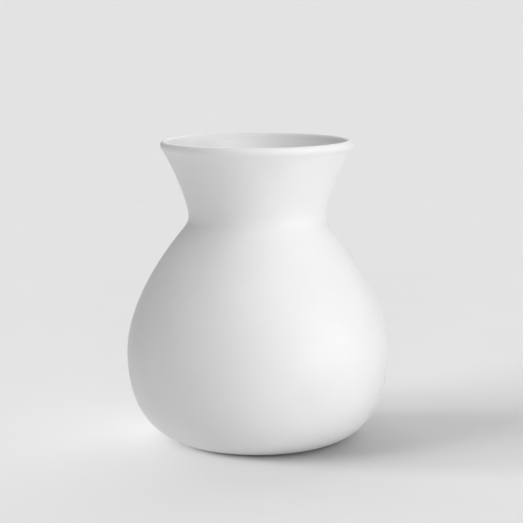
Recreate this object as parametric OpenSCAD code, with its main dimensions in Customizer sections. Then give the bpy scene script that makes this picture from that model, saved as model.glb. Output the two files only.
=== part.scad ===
// Ceramic bud vase: a round-bellied pot with a conical shoulder, a creased neck and a flared
// collar that ends in a rolled lip. It is a fired clay body with a satin glaze coat outside and
// a liner glaze coat inside. The origin is at the centre of the foot, on the table, and +Z is up.
// Every outline is drawn in the (radius, height) half plane and turned about the Z axis.

/* [Overall] */
// Height from the table to the crest of the lip
height = 127.2; // [124:0.2:134]

/* [Foot] */
// Radius where the foot meets the table, at the outer edge of its flat ring
foot_r = 26.5; // [25:0.5:27]
// Radial width of the flat ring that the vase stands on
foot_ring_w = 4.5; // [3:0.5:8]
// Depth of the turned hollow inside the foot ring
foot_hollow = 1.6; // [0.8:0.1:2.2]
// Height of the bare clay edge below the glaze line
glaze_line = 0.5; // [0.5:0.1:1.2]

/* [Belly] */
// Radius at the widest part of the belly
belly_r = 54.8; // [52:0.2:58]
// Height of the widest part of the belly
belly_z = 38.4; // [36:0.2:42]
// Radius at which the underside of the belly runs level with the table
under_r = 23.5; // [22:0.5:24.5]

/* [Shoulder] */
// Radius of the shoulder, halfway along its straight cone
shoulder_r = 31.8; // [31.5:0.1:34]
// Height of that point
shoulder_z = 89.3; // [86:0.2:90]
// Slope of the shoulder, in degrees away from vertical
shoulder_slope = 39; // [34:1:44]

/* [Neck] */
// Radius at the bottom of the crease
neck_r = 28.6; // [27:0.1:29.2]
// Height of the crease
neck_z = 96.5; // [95.5:0.2:98]

/* [Collar and lip] */
// Radius of the collar just under the lip
collar_r = 39; // [37:0.1:41]
// Flare of the collar under the lip, in degrees away from vertical
collar_flare = 30; // [24:1:36]
// Height of the rolled lip
lip_h = 4.2; // [3.6:0.1:4.8]
// How far the rolled lip stands out past the collar
lip_out = 1.3; // [0.8:0.1:2]

/* [Wall] */
// Thickness of the wall under the lip, glaze included
lip_wall = 3; // [2.8:0.1:3.4]
// Thickness of the floor of the pot above the table, glaze included
floor_wall = 5.6; // [5:0.1:6.5]
// Thickness of each glaze coat
glaze_t = 0.4; // [0.2:0.05:0.5]

/* [Hidden] */
TURN_FN = 128;
CURVE_STEPS = 14;
LIP_STEPS = 6;

// The collar ends and the lip begins at this height
collar_z = height - lip_h;
// Directions along the shoulder and the collar, going up
shoulder_dir = [-sin(shoulder_slope), cos(shoulder_slope)];
collar_dir = [sin(collar_flare), cos(collar_flare)];
// How full each curve is: the length of its handles, in mm
under_handle = 16.2;
belly_low_handle = 0.728 * belly_z;
belly_top_handle = 14.6;
shoulder_low_handle = 24;
crease_run = norm([shoulder_r - neck_r, neck_z - shoulder_z]);
crease_low_handle = 0.62 * crease_run;
crease_top_handle = 0.305 * crease_run;
neck_handle = 2;
collar_handle = 14.2;
// The crest of the lip lies inside the collar's edge, and its roll is a little over a quarter turn
crest = [collar_r - 0.5, height];
lip_side_handle = 1.4;
lip_top_handle = 2.1;
lip_inner_handle = 1.4;
inner_edge_handle = 0.8;

// Points of a cubic curve from a to d, whose handles end at b and c
function curve(a, b, c, d, steps) = [
    for (i = [0 : steps])
        let (t = i / steps, u = 1 - t)
            u * u * u * a + 3 * u * u * t * b + 3 * u * t * t * c + t * t * t * d
];

// A path without its first point, which the path before it already holds
function tail(path) = [for (i = [1 : len(path) - 1]) path[i]];
function reversed(path) = [for (i = [len(path) - 1 : -1 : 0]) path[i]];
function slice(path, first, last) = [for (i = [first : last]) path[i]];

// Direction of a path at its point i
function along(path, i) =
    let (step = path[min(i + 1, len(path) - 1)] - path[max(i - 1, 0)])
        step / norm(step);

// The path moved sideways into the clay, to the left of its direction, by depths[i] at point i
function inset(path, depths) = [
    for (i = [0 : len(path) - 1])
        let (dir = along(path, i))
            path[i] + depths[i] * [-dir.y, dir.x]
];

// The finished outside, from under the belly up to the collar's edge
foot_point = [under_r, 0];
belly_point = [belly_r, belly_z];
shoulder_point = [shoulder_r, shoulder_z];
neck_point = [neck_r, neck_z];
collar_point = [collar_r, collar_z];
outside = concat(
    curve(foot_point, foot_point + [under_handle, 0],
        belly_point - [0, belly_low_handle], belly_point, CURVE_STEPS),
    tail(curve(belly_point, belly_point + [0, belly_top_handle],
        shoulder_point - shoulder_low_handle * shoulder_dir, shoulder_point, CURVE_STEPS)),
    tail(curve(shoulder_point, shoulder_point + crease_low_handle * shoulder_dir,
        neck_point - [0, crease_top_handle], neck_point, CURVE_STEPS)),
    tail(curve(neck_point, neck_point + [0, neck_handle],
        collar_point - collar_handle * collar_dir, collar_point, CURVE_STEPS))
);

// The finished inside is the outside moved in by the wall, which thins from the floor to the lip
wall = [for (p = outside) floor_wall + (lip_wall - floor_wall) * p.y / collar_z];
inside = inset(outside, wall);
inner_edge = inside[len(inside) - 1];

// The rolled lip joins them over its crest
lip = concat(
    tail(curve(collar_point, collar_point + [lip_out + 0.5, lip_side_handle],
        crest + [lip_top_handle, 0], crest, LIP_STEPS)),
    tail(curve(crest, crest - [lip_inner_handle, 0],
        inner_edge + inner_edge_handle * collar_dir, inner_edge, LIP_STEPS))
);

// The outside coat starts at the glaze line, just above the bare edge of the foot
glazed_outside = concat(
    [[lookup(glaze_line, [for (p = outside) [p.y, p.x]]), glaze_line]],
    [for (p = outside) if (p.y > glaze_line) p]
);

// One path over the whole finished surface: glaze line, lip, inside and the middle of the floor
skin = concat(glazed_outside, lip, tail(reversed(inside)), [[0, inside[0].y]]);
// The clay's surface lies one coat of glaze below it
clay = inset(skin, [for (p = skin) glaze_t]);
// The two coats meet at the inner edge of the lip
meeting = len(glazed_outside) + len(lip) - 1;
last = len(skin) - 1;

// A coat of glaze between two points of the skin
module coat(first, final) {
    rotate_extrude($fn = TURN_FN)
        polygon(concat(slice(skin, first, final), reversed(slice(clay, first, final))));
}

// The fired stoneware pot, bare on its foot ring and in the hollow turned inside it
module clay_body() {
    ring_in = foot_r - foot_ring_w;
    color("burlywood")
        rotate_extrude($fn = TURN_FN)
            polygon(concat(
                [[0, foot_hollow], [ring_in - foot_hollow, foot_hollow], [ring_in, 0], [foot_r, 0]],
                clay
            ));
}

// The satin white coat on the outside and over the lip
module outer_glaze() {
    color("white")
        coat(0, meeting);
}

// The liner coat that makes the inside hold water
module inner_glaze() {
    color("whitesmoke")
        coat(meeting, last);
}

clay_body();
outer_glaze();
inner_glaze();
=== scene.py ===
import math

import bpy
import numpy as np
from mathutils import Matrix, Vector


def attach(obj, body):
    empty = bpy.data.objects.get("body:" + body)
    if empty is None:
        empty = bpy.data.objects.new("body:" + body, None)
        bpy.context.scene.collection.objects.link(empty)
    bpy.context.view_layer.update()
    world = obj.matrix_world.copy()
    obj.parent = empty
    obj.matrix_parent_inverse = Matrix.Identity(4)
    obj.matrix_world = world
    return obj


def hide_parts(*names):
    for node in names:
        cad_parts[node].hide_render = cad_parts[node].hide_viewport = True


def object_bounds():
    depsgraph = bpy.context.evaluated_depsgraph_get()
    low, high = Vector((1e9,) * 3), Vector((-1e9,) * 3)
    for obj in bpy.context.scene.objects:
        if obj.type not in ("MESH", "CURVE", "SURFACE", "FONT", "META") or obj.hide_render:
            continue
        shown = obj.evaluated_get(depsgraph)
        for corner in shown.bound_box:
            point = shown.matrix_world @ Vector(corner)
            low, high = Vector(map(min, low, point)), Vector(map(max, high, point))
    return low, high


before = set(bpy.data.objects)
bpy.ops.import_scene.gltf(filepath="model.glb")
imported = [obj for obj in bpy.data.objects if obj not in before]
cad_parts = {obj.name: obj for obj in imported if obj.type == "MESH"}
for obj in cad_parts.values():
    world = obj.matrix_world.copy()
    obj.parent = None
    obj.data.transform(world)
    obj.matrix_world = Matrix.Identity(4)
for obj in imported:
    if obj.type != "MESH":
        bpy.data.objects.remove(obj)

MM = 0.001
cad_low, cad_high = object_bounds()


# ---------------------------------------------------------------------------------------------
# Clay pot. The vase itself: buff stoneware thrown on a wheel, its foot turned when the clay was
# leather hard, then fired. It carries both coats of glaze and stays bare under the foot.
# ---------------------------------------------------------------------------------------------

# Heights and radii of the thrown shape, glaze included, in mm
height = cad_high.z / MM
under_r, belly_r, belly_z = 23.5, 54.8, 38.4
shoulder_r, shoulder_z, shoulder_slope = 31.8, 89.3, math.radians(39)
neck_r, neck_z = 28.6, 96.5
collar_r, collar_z, collar_flare = 39.0, height - 4.2, math.radians(30)
crest_in = 0.5
lip_wall, floor_wall = 3.0, 5.6
glaze_t, glaze_line = 0.4, 0.5
foot_r, foot_ring_w, foot_hollow, foot_round = 26.5, 4.5, 1.6, 0.5

# How full each curve of the outline is: the length of its handles, in mm. Those of the crease are
# shares of its own length.
under_handle, belly_low_handle, belly_top_handle = 16.2, 0.728 * belly_z, 14.6
shoulder_low_handle, neck_handle, collar_handle = 24.0, 2.0, 14.2
crease_low_share, crease_top_share = 0.62, 0.305
lip_out_handle, lip_side_handle, lip_top_handle = 1.8, 1.4, 2.1
lip_inner_handle, inner_edge_handle = 1.4, 0.8

# How far the collar stands off the middle, to the left and to the back, and how far the rim tilts
# and waves, in mm
off_left, off_back, rim_tilt, rim_wave = 0.25, 0.15, 0.25, 0.04

# How closely the rings of the mesh follow each other, in mm, and how many points make one turn
SEEN_STEP, HIDDEN_STEP = 0.8, 2.0
SIDES = 240


def point(r, z):
    return np.array([r, z], float)


def slant(angle):
    """Direction in the (radius, height) plane that leans out from vertical by an angle."""
    return point(math.sin(angle), math.cos(angle))


def curve(a, b, c, d, steps=60):
    """Points of a cubic curve from a to d, whose handles end at b and c."""
    t = np.linspace(0, 1, steps + 1)[:, None]
    return (1 - t) ** 3 * a + 3 * (1 - t) ** 2 * t * b + 3 * (1 - t) * t**2 * c + t**3 * d


def join(*paths):
    """Paths that follow each other, without the points that two of them share."""
    return np.vstack([paths[0]] + [path[1:] for path in paths[1:]])


def respace(path, step):
    """The same path with its points an even step apart."""
    run = np.concatenate([[0], np.cumsum(np.linalg.norm(np.diff(path, axis=0), axis=1))])
    even = np.linspace(0, run[-1], max(2, round(run[-1] / step) + 1))
    return np.column_stack([np.interp(even, run, axis) for axis in path.T])


def inset(path, depth):
    """The path moved sideways into the clay, to the left of its direction."""
    along = np.gradient(path, axis=0)
    along /= np.linalg.norm(along, axis=1)[:, None]
    return path + np.reshape(depth, (-1, 1)) * np.column_stack([-along[:, 1], along[:, 0]])


def outside_path():
    """The finished outside, from under the belly up to the edge of the collar."""
    foot, belly = point(under_r, 0), point(belly_r, belly_z)
    shoulder, neck, collar = point(shoulder_r, shoulder_z), point(neck_r, neck_z), point(collar_r, collar_z)
    up, out = point(0, 1), point(1, 0)
    shoulder_dir = slant(-shoulder_slope)
    crease_run = np.linalg.norm(neck - shoulder)
    crease_low = crease_low_share * crease_run * shoulder_dir
    crease_top = crease_top_share * crease_run * up
    return join(
        curve(foot, foot + under_handle * out, belly - belly_low_handle * up, belly),
        curve(belly, belly + belly_top_handle * up, shoulder - shoulder_low_handle * shoulder_dir, shoulder),
        curve(shoulder, shoulder + crease_low, neck - crease_top, neck),
        curve(neck, neck + neck_handle * up, collar - collar_handle * slant(collar_flare), collar),
    )


def lip_path(inner_edge):
    """The rolled lip, from the edge of the collar over its crest to the inside."""
    collar, crest = point(collar_r, collar_z), point(collar_r - crest_in, height)
    side = point(lip_out_handle, lip_side_handle)
    inner = inner_edge + inner_edge_handle * slant(collar_flare)
    return join(
        curve(collar, collar + side, crest + point(lip_top_handle, 0), crest, 24),
        curve(crest, crest - point(lip_inner_handle, 0), inner, inner_edge, 24),
    )


outside = outside_path()
wall = floor_wall + (lip_wall - floor_wall) * outside[:, 1] / collar_z
inside = inset(outside, wall)
lip = lip_path(inside[-1])

# The finished surface in two stretches, outside and inside, which meet at the inner edge of the lip
line_r = np.interp(glaze_line, outside[:, 1], outside[:, 0])
glazed = np.vstack([point(line_r, glaze_line), outside[outside[:, 1] > glaze_line]])
outer_skin = respace(join(glazed, lip), SEEN_STEP)
inner_skin = respace(np.vstack([inside[::-1], point(0, inside[0, 1])]), SEEN_STEP)
whole_skin = join(outer_skin, inner_skin)
whole_clay = inset(whole_skin, glaze_t)
whole_clay[-1, 0] = 0
meeting = len(outer_skin) - 1
outer_clay = respace(whole_clay[: meeting + 1], HIDDEN_STEP)
inner_clay = respace(whole_clay[meeting:], HIDDEN_STEP)


def smooth_rise(z, low, high):
    """0 below one height, 1 above another, and a smooth rise between them."""
    t = np.clip((z - low) / (high - low), 0, 1)
    return t * t * (3 - 2 * t)


def thrown(path, finger=0.0):
    """Rings of points in space round a path, with the small faults of a pot made by hand: the
    collar sits a little to one side, the rim is a little oval and dips, and the potter's fingers
    leave a shallow spiral whose depth is finger, in mm."""
    turn = np.linspace(0, 2 * math.pi, SIDES, endpoint=False)[None, :]
    r, z = path[:, :1], path[:, 1:]
    off_wheel = smooth_rise(z, 60, 100)
    spiral_pitch = 6.5
    spiral = np.sin(2 * math.pi * z / spiral_pitch - turn + 1.3 * np.sin(z / 11 + 0.5))
    spiral *= 0.6 + 0.4 * np.sin(z / 17 + 2 * turn)
    spiral *= smooth_rise(z, 2, 10) * (1 - smooth_rise(z, height - 8, height - 3))
    oval = 1 + (0.0006 + 0.0012 * off_wheel) * np.cos(2 * turn - 1.1)
    radius = r * oval + finger * spiral * smooth_rise(r, 1, 8)
    x = radius * np.cos(turn) - off_left * off_wheel
    y = radius * np.sin(turn) + off_back * off_wheel
    dip = rim_tilt * off_wheel * np.cos(turn) + rim_wave * off_wheel * np.cos(3 * turn)
    return np.stack([x, y, z + dip], axis=2) * MM


def turn_piece(name, rings):
    """A closed skin over rings of points, each ring joined to the next and the last to the first.
    A ring on the axis has shrunk to a single point, and two of those aren't joined."""
    points, starts, poles = [], [], []
    for ring in rings:
        pole = np.ptp(ring, axis=0).max() < 1e-7
        starts.append(sum(map(len, points)))
        points.append(ring[:1] if pole else ring)
        poles.append(pole)
    faces = []
    for i, low in enumerate(starts):
        following = (i + 1) % len(starts)
        high = starts[following]
        if poles[i] and poles[following]:
            continue
        for j in range(SIDES):
            k = (j + 1) % SIDES
            lower = (low,) if poles[i] else (low + j, low + k)
            upper = (high,) if poles[following] else (high + k, high + j)
            faces.append(lower + upper)
    mesh = bpy.data.meshes.new(name)
    mesh.from_pydata(np.vstack(points).tolist(), [], faces)
    mesh.polygons.foreach_set("use_smooth", [True] * len(faces))
    mesh.set_sharp_from_angle(angle=math.radians(50))
    mesh.update()
    piece = bpy.data.objects.new(name, mesh)
    bpy.context.scene.collection.objects.link(piece)
    return piece


def turned_foot():
    """The bare underside, from the axis out to the glaze line: a hollow with a low button in its
    middle and the steps of the turning tool, then the flat ring with both its edges eased."""
    ring_in = foot_r - foot_ring_w
    slope = foot_hollow + 0.4
    hollow = np.linspace(0, ring_in - slope, 90)
    steps = 0.06 * np.sin(hollow * 2 * math.pi / 2.6) * smooth_rise(hollow, 3, 6)
    button = 0.35 * (1 - smooth_rise(hollow, 2, 6))
    floor = np.column_stack([hollow, foot_hollow - button + steps * (1 - smooth_rise(hollow, 16, 20))])
    out, up = point(1, 0), point(0, 1)
    inner, outer = point(ring_in, 0), point(foot_r, 0)
    bare_edge = outer_clay[0]
    return join(
        floor,
        curve(floor[-1], floor[-1] + 0.8 * out, inner - foot_round * out + 0.6 * up, inner, 12),
        curve(inner, inner + foot_round * out, outer - foot_round * out, outer, 8),
        curve(outer, outer + foot_round * out, bare_edge - point(1.2, 0.7), bare_edge, 12),
    )


foot_path = turned_foot()
pot_rings = thrown(join(foot_path, outer_clay, inner_clay))
clay_pot = turn_piece("clay_pot", pot_rings)


class Finish:
    """A material of one Principled shader, with short ways to add and join nodes."""

    def __init__(self, name):
        self.material = bpy.data.materials.new(name)
        self.material.use_nodes = True
        self.tree = self.material.node_tree
        self.shader = self.tree.nodes["Principled BSDF"]
        self.place = self.add("ShaderNodeTexCoord").outputs["Object"]

    def add(self, kind, **values):
        node = self.tree.nodes.new(kind)
        for key, value in values.items():
            setattr(node, key, value)
        return node

    def feed(self, node, **inputs):
        for key, value in inputs.items():
            socket = node.inputs[key.replace("_", " ")]
            if isinstance(value, bpy.types.NodeSocket):
                self.tree.links.new(value, socket)
            else:
                socket.default_value = value
        return node

    def noise(self, size_mm, detail=2.0, roughness=0.5):
        """Soft noise whose blotches are about size_mm across."""
        node = self.feed(
            self.add("ShaderNodeTexNoise"),
            Vector=self.place,
            Scale=1 / (size_mm * MM),
            Detail=detail,
            Roughness=roughness,
        )
        return node.outputs["Fac"]

    def remap(self, value, low, high, new_low, new_high):
        node = self.add("ShaderNodeMapRange", interpolation_type="SMOOTHSTEP")
        node.inputs["Value"].default_value = 0
        self.tree.links.new(value, node.inputs["Value"])
        for key, number in zip(("From Min", "From Max", "To Min", "To Max"), (low, high, new_low, new_high)):
            node.inputs[key].default_value = number
        return node.outputs["Result"]

    def blend(self, share, first, second):
        """A colour between two, each a colour or a socket."""
        node = self.add("ShaderNodeMix", data_type="RGBA")
        for socket, value in ((node.inputs[0], share), (node.inputs[6], first), (node.inputs[7], second)):
            if isinstance(value, bpy.types.NodeSocket):
                self.tree.links.new(value, socket)
            elif isinstance(value, float):
                socket.default_value = value
            else:
                socket.default_value = (*value, 1)
        return node.outputs[2]

    def specks(self, spacing_mm, size_mm, share):
        """1 inside round specks, which only a share of the cells hold."""
        cells = self.feed(self.add("ShaderNodeTexVoronoi"), Vector=self.place, Scale=1 / (spacing_mm * MM))
        size = size_mm / spacing_mm
        near = self.remap(cells.outputs["Distance"], 0.3 * size, 0.5 * size, 1, 0)
        pick = self.add("ShaderNodeSeparateColor")
        self.tree.links.new(cells.outputs["Color"], pick.inputs["Color"])
        chosen = self.add("ShaderNodeMath", operation="LESS_THAN")
        self.tree.links.new(pick.outputs["Red"], chosen.inputs[0])
        chosen.inputs[1].default_value = share
        both = self.add("ShaderNodeMath", operation="MULTIPLY")
        self.tree.links.new(near, both.inputs[0])
        self.tree.links.new(chosen.outputs[0], both.inputs[1])
        return both.outputs[0]

    def bump(self, height_socket, depth_mm, under=None):
        node = self.add("ShaderNodeBump")
        node.inputs["Strength"].default_value = 1
        node.inputs["Distance"].default_value = depth_mm * MM
        self.tree.links.new(height_socket, node.inputs["Height"])
        if under is not None:
            self.tree.links.new(under, node.inputs["Normal"])
        return node.outputs["Normal"]

    def put_on(self, piece):
        piece.data.materials.append(self.material)


stoneware = Finish("bare_stoneware")
body_tone = stoneware.blend(
    stoneware.remap(stoneware.noise(9, 4), 0.35, 0.65, 0, 1), (0.60, 0.53, 0.44), (0.67, 0.60, 0.51)
)
grog = stoneware.specks(1.6, 0.45, 0.35)
dark_grog = stoneware.blend(grog, body_tone, (0.30, 0.23, 0.17))
stoneware.feed(
    stoneware.shader,
    Base_Color=dark_grog,
    Roughness=stoneware.remap(stoneware.noise(1.5, 3), 0.3, 0.7, 0.72, 0.9),
    Normal=stoneware.bump(stoneware.noise(0.35, 4, 0.6), 0.05),
)
stoneware.put_on(clay_pot)
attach(clay_pot, "root")
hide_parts("clay_body")


# ---------------------------------------------------------------------------------------------
# Outer coat. Satin white glaze, sprayed over the bisque pot, wiped back to a line above the foot
# and taken over the lip. It is under half a millimetre thick and fused to the clay.
# ---------------------------------------------------------------------------------------------

outer_finger = 0.018


def roll(start, end, steps=6):
    """The round edge that melted glaze draws itself into, between two points of its thickness."""
    middle, half = (start + end) / 2, (start - end) / 2
    bulge = point(half[1], -half[0]) * -1
    angles = np.linspace(0, math.pi, steps + 1)[1:-1, None]
    return middle + half * np.cos(angles) + bulge * np.sin(angles)


rolled_edge = roll(outer_clay[0], outer_skin[0])
outer_rings = np.concatenate(
    [thrown(outer_skin, outer_finger), thrown(outer_clay[::-1]), thrown(rolled_edge)]
)
outer_coat = turn_piece("outer_coat", outer_rings)

satin_white = Finish("satin_white_glaze")
cloudy = satin_white.blend(
    satin_white.remap(satin_white.noise(22, 3), 0.3, 0.7, 0, 1), (0.850, 0.850, 0.846), (0.872, 0.872, 0.872)
)
pinholes = satin_white.specks(14, 0.55, 0.22)
speckled = satin_white.blend(satin_white.remap(pinholes, 0, 1, 0, 0.35), cloudy, (0.45, 0.42, 0.38))
orange_peel = satin_white.bump(satin_white.noise(1.4, 2), 0.006)
silk = satin_white.bump(satin_white.noise(0.25, 2), 0.0012, orange_peel)
satin_white.feed(
    satin_white.shader,
    Base_Color=speckled,
    Roughness=satin_white.remap(satin_white.noise(5, 4), 0.3, 0.7, 0.36, 0.44),
    Specular_IOR_Level=0.25,
    Normal=silk,
)
satin_white.put_on(outer_coat)
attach(outer_coat, "root")
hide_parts("outer_glaze")


# ---------------------------------------------------------------------------------------------
# Liner coat. White glaze poured into the pot and out again, so that it holds water. It runs from
# the inner edge of the lip to the floor, and the finger marks of the throwing show through it.
# ---------------------------------------------------------------------------------------------

inner_finger = 0.07
liner_rings = np.concatenate([thrown(inner_skin, inner_finger), thrown(inner_clay[::-1])])
liner_coat = turn_piece("liner_coat", liner_rings)

liner_white = Finish("white_liner_glaze")
poured = liner_white.blend(
    liner_white.remap(liner_white.noise(18, 3), 0.3, 0.7, 0, 1), (0.835, 0.835, 0.828), (0.865, 0.865, 0.862)
)
liner_white.feed(
    liner_white.shader,
    Base_Color=poured,
    Roughness=liner_white.remap(liner_white.noise(6, 3), 0.3, 0.7, 0.28, 0.4),
    Normal=liner_white.bump(liner_white.noise(2.2, 2), 0.012),
)
liner_white.put_on(liner_coat)
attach(liner_coat, "root")
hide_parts("inner_glaze")


# ---------------------------------------------------------------------------------------------
# Table. A plain pale floor that runs on past the horizon, with a matt, lightly clouded surface.
# ---------------------------------------------------------------------------------------------

floor_reach = 30.0
floor_mesh = bpy.data.meshes.new("pale_floor")
floor_ring = [
    (floor_reach * math.cos(a), floor_reach * math.sin(a), 0)
    for a in np.linspace(0, 2 * math.pi, 64, endpoint=False)
]
floor_mesh.from_pydata(floor_ring, [], [tuple(range(len(floor_ring)))])
pale_floor = bpy.data.objects.new("pale_floor", floor_mesh)
bpy.context.scene.collection.objects.link(pale_floor)

matt_floor = Finish("matt_floor")
matt_floor.feed(
    matt_floor.shader,
    Base_Color=matt_floor.blend(
        matt_floor.remap(matt_floor.noise(60, 4), 0.3, 0.7, 0, 1),
        (0.872, 0.872, 0.872),
        (0.880, 0.880, 0.880),
    ),
    Roughness=1.0,
    Specular_IOR_Level=0.0,
)
matt_floor.put_on(pale_floor)


# ---------------------------------------------------------------------------------------------
# Light. A dim white room with soft white lamps, all above the table. Four light the vase alone: high
# in front, in front, low on the right, and behind. The others light the floor alone, most of them
# from the left, so that the vase's shadow falls to the right.
# ---------------------------------------------------------------------------------------------

room = bpy.data.worlds.new("white_room")
bpy.context.scene.world = room
room.use_nodes = True
room_nodes, room_links = room.node_tree.nodes, room.node_tree.links
room_light = room_nodes["Background"]
room_light.inputs["Color"].default_value = (1, 1, 1, 1)
room_light.inputs["Strength"].default_value = 0.18
far_floor = room_nodes.new("ShaderNodeBackground")
far_floor.inputs["Color"].default_value = (1, 1, 1, 1)
far_floor.inputs["Strength"].default_value = 0.76
seen_or_lit = room_nodes.new("ShaderNodeMixShader")
room_links.new(room_nodes.new("ShaderNodeLightPath").outputs["Is Camera Ray"], seen_or_lit.inputs["Fac"])
room_links.new(room_light.outputs[0], seen_or_lit.inputs[1])
room_links.new(far_floor.outputs[0], seen_or_lit.inputs[2])
room_links.new(seen_or_lit.outputs[0], room_nodes["World Output"].inputs["Surface"])


def lamp_group(name, members):
    group = bpy.data.collections.new(name)
    for member in members:
        group.objects.link(member)
    return group


vase_only = lamp_group("vase_only", [clay_pot, outer_coat, liner_coat])
floor_only = lamp_group("floor_only", [pale_floor])


def aim(thing, azimuth, elevation, distance, target=(0, 0, 0.06)):
    """Stands a lamp or camera off at an angle round the vase, facing the target. Azimuth 0 is in
    front, and 90 to the right."""
    a, e = math.radians(azimuth), math.radians(elevation)
    away = np.array([math.sin(a) * math.cos(e), -math.cos(a) * math.cos(e), math.sin(e)])
    thing.location = np.array(target) + distance * away
    thing.rotation_euler = (math.pi / 2 - e, 0, a)


def soft_lamp(name, azimuth, elevation, distance, size, power, lights):
    data = bpy.data.lights.new(name, "AREA")
    data.shape = "RECTANGLE"
    data.size, data.size_y = size
    data.energy = power
    lamp = bpy.data.objects.new(name, data)
    bpy.context.scene.collection.objects.link(lamp)
    aim(lamp, azimuth, elevation, distance)
    lamp.visible_camera = False
    lamp.light_linking.receiver_collection = lights
    return lamp


def far_lamp(name, azimuth, elevation, width, strength, lights):
    """A lamp so far off that its rays are parallel; width is how wide it looks, in degrees."""
    data = bpy.data.lights.new(name, "SUN")
    data.energy = strength
    data.angle = math.radians(width)
    lamp = bpy.data.objects.new(name, data)
    bpy.context.scene.collection.objects.link(lamp)
    aim(lamp, azimuth, elevation, 2.0)
    lamp.light_linking.receiver_collection = lights
    return lamp


# Each soft lamp: azimuth, elevation, distance in m, size in m, power in W. Each far lamp: azimuth,
# elevation, width, strength. Angles are in degrees.
soft_lamp("key", 20, 60, 1.3, (2.0, 2.0), 10.0, vase_only)
soft_lamp("front_key", 38, 50, 1.3, (0.8, 0.8), 2.5, vase_only)
soft_lamp("low_side", 60, 2, 1.3, (0.8, 0.8), 10.0, vase_only)
soft_lamp("back", 180, 35, 1.3, (0.8, 0.8), 5.0, vase_only)
far_lamp("floor_side", -90, 18, 20, 1.2, floor_only)
far_lamp("floor_side_front", -60, 25, 30, 1.0, floor_only)
far_lamp("floor_side_high", -90, 50, 70, 0.8, floor_only)
far_lamp("floor_back", 180, 40, 70, 1.0, floor_only)
far_lamp("floor_front", 0, 14, 30, 0.6, floor_only)


# ---------------------------------------------------------------------------------------------
# Camera. A long lens a little above the rim, looking slightly down.
# ---------------------------------------------------------------------------------------------

# Where the lens stands, in m, and how far it looks down, in degrees
eye_right, eye_front, eye_height, look_down = 0.00155, 0.8, 0.1943, 8.4

camera_data = bpy.data.cameras.new("camera")
camera_data.sensor_width = 36
camera_data.lens = 133.0
camera_data.clip_start, camera_data.clip_end = 0.05, 60
camera = bpy.data.objects.new("camera", camera_data)
bpy.context.scene.collection.objects.link(camera)
camera.location = (eye_right, -eye_front, eye_height)
camera.rotation_euler = (math.radians(90 - look_down), 0, 0)
bpy.context.scene.camera = camera
bpy.context.scene.view_settings.view_transform = "Standard"
